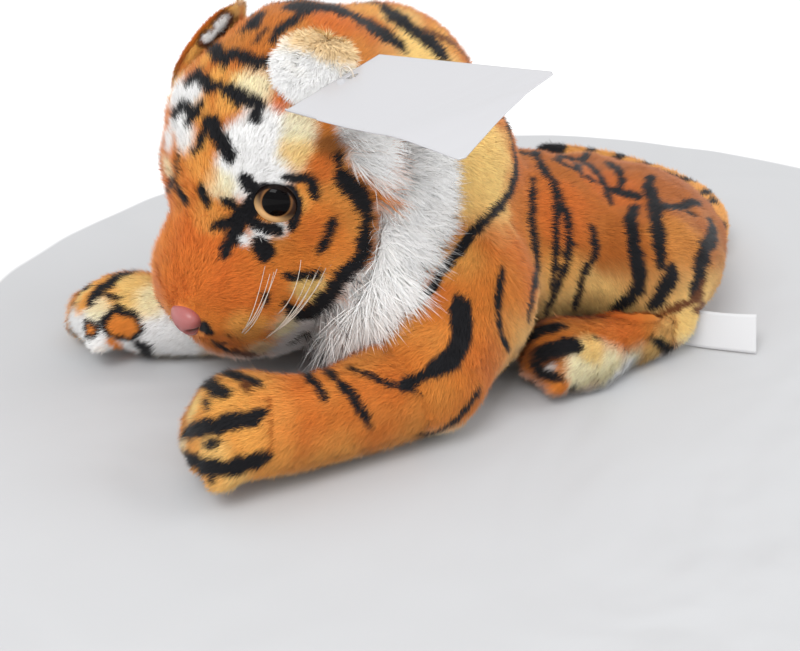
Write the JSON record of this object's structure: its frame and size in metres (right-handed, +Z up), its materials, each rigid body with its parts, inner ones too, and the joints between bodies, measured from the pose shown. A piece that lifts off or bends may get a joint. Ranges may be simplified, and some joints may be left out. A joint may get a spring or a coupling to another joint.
{
  "type": "plush tiger",
  "caption": "Stuffed tiger lying on its belly, striped plush skins over fibre filling, button eyes and nose, whiskers, card tag; head, ears, legs, feet and tail move.",
  "frame": {"origin": "on the floor under the middle of the belly, on the flat underside of the belly panel", "axes": "+Z up; the toy looks along -X with its tail towards +X; its left side is -Y"},
  "size_m": [0.3654, 0.2919, 0.1733],
  "materials": {
    "plush_orange": "short striped pile",
    "plush_cream": "pale short pile",
    "plush_tan": "tan short pile with dark bands",
    "long_pile_white": "long white pile",
    "fibre_filling": "loose polyester fibre",
    "eye_amber": "clear dome over an amber iris",
    "nose_pink": "moulded, satin",
    "washer_white": "moulded",
    "nylon_clear": "clear thread",
    "card_white": "coated card, blank",
    "label_white": "woven ribbon, blank"
  },
  "bodies": {
    "body": {"belly_panel": "plush_cream", "body_skin_left": "plush_orange", "body_skin_right": "plush_orange", "body_stuffing": "fibre_filling", "sewn_label": "label_white"},
    "head": {"head_skin_left": "plush_orange", "head_skin_right": "plush_orange", "head_stuffing": "fibre_filling", "cheek_ruff_left": "long_pile_white", "cheek_ruff_right": "long_pile_white", "eye_left": "eye_amber", "eye_right": "eye_amber", "eye_washer_left": "washer_white", "eye_washer_right": "washer_white", "nose": "nose_pink", "nose_washer": "washer_white", "whiskers_left": "nylon_clear", "whiskers_right": "nylon_clear", "tag_loop": "nylon_clear"},
    "ear_left": {"ear_left_back": "plush_tan", "ear_left_lining": "plush_cream"},
    "ear_right": {"ear_right_back": "plush_tan", "ear_right_lining": "plush_cream"},
    "foreleg_left": {"foreleg_left_skin": "plush_orange", "paw_left_skin": "plush_tan", "foreleg_left_stuffing": "fibre_filling"},
    "foreleg_right": {"foreleg_right_skin": "plush_orange", "paw_right_skin": "plush_tan", "foreleg_right_stuffing": "fibre_filling"},
    "hindfoot_left": {"hindfoot_left_skin": "plush_orange", "hindfoot_left_stuffing": "fibre_filling"},
    "hindfoot_right": {"hindfoot_right_skin": "plush_orange", "hindfoot_right_stuffing": "fibre_filling"},
    "tail": {"tail_skin": "plush_tan", "tail_stuffing": "fibre_filling"},
    "swing_tag": {"swing_tag": "card_white"}
  },
  "joints": [
    {"name": "head_nod", "type": "hinge", "parent": "body", "child": "head", "pos_m": [-0.05202, 0, 0.086], "axis": [-0.2924, 0.9563, 0], "range_deg": [0, 14]},
    {"name": "ear_left_fold", "type": "hinge", "parent": "head", "child": "ear_left", "pos_m": [-0.11835, -0.0407, 0.14224], "axis": [0.8818, -0.4658, 0.0739], "range_deg": [0, 25]},
    {"name": "ear_right_fold", "type": "hinge", "parent": "head", "child": "ear_right", "pos_m": [-0.14326, 0.04064, 0.13339], "axis": [-0.4706, -0.8792, 0.0739], "range_deg": [0, 25]},
    {"name": "foreleg_left_swing", "type": "hinge", "parent": "body", "child": "foreleg_left", "pos_m": [-0.07997, -0.08201, 0.0262], "axis": [0, 0, 1], "range_deg": [0, 18]},
    {"name": "foreleg_right_swing", "type": "hinge", "parent": "body", "child": "foreleg_right", "pos_m": [-0.08609, 0.03828, 0.0262], "axis": [0, 0, -1], "range_deg": [0, 14]},
    {"name": "hindfoot_left_swing", "type": "hinge", "parent": "body", "child": "hindfoot_left", "pos_m": [0.051, -0.05997, 0.0157], "axis": [0, 0, 1], "range_deg": [0, 12]},
    {"name": "hindfoot_right_swing", "type": "hinge", "parent": "body", "child": "hindfoot_right", "pos_m": [0.051, 0.05997, 0.0157], "axis": [0, 0, -1], "range_deg": [0, 12]},
    {"name": "tail_swing", "type": "hinge", "parent": "body", "child": "tail", "pos_m": [0.10506, 0.00406, 0.0127], "axis": [0, 0, 1], "range_deg": [-14, 8]},
    {"name": "tag_lift", "type": "hinge", "parent": "head", "child": "swing_tag", "pos_m": [-0.09536, -0.05455, 0.15869], "axis": [-0.8619, -0.4824, -0.1564], "range_deg": [0, 35]}
  ]
}
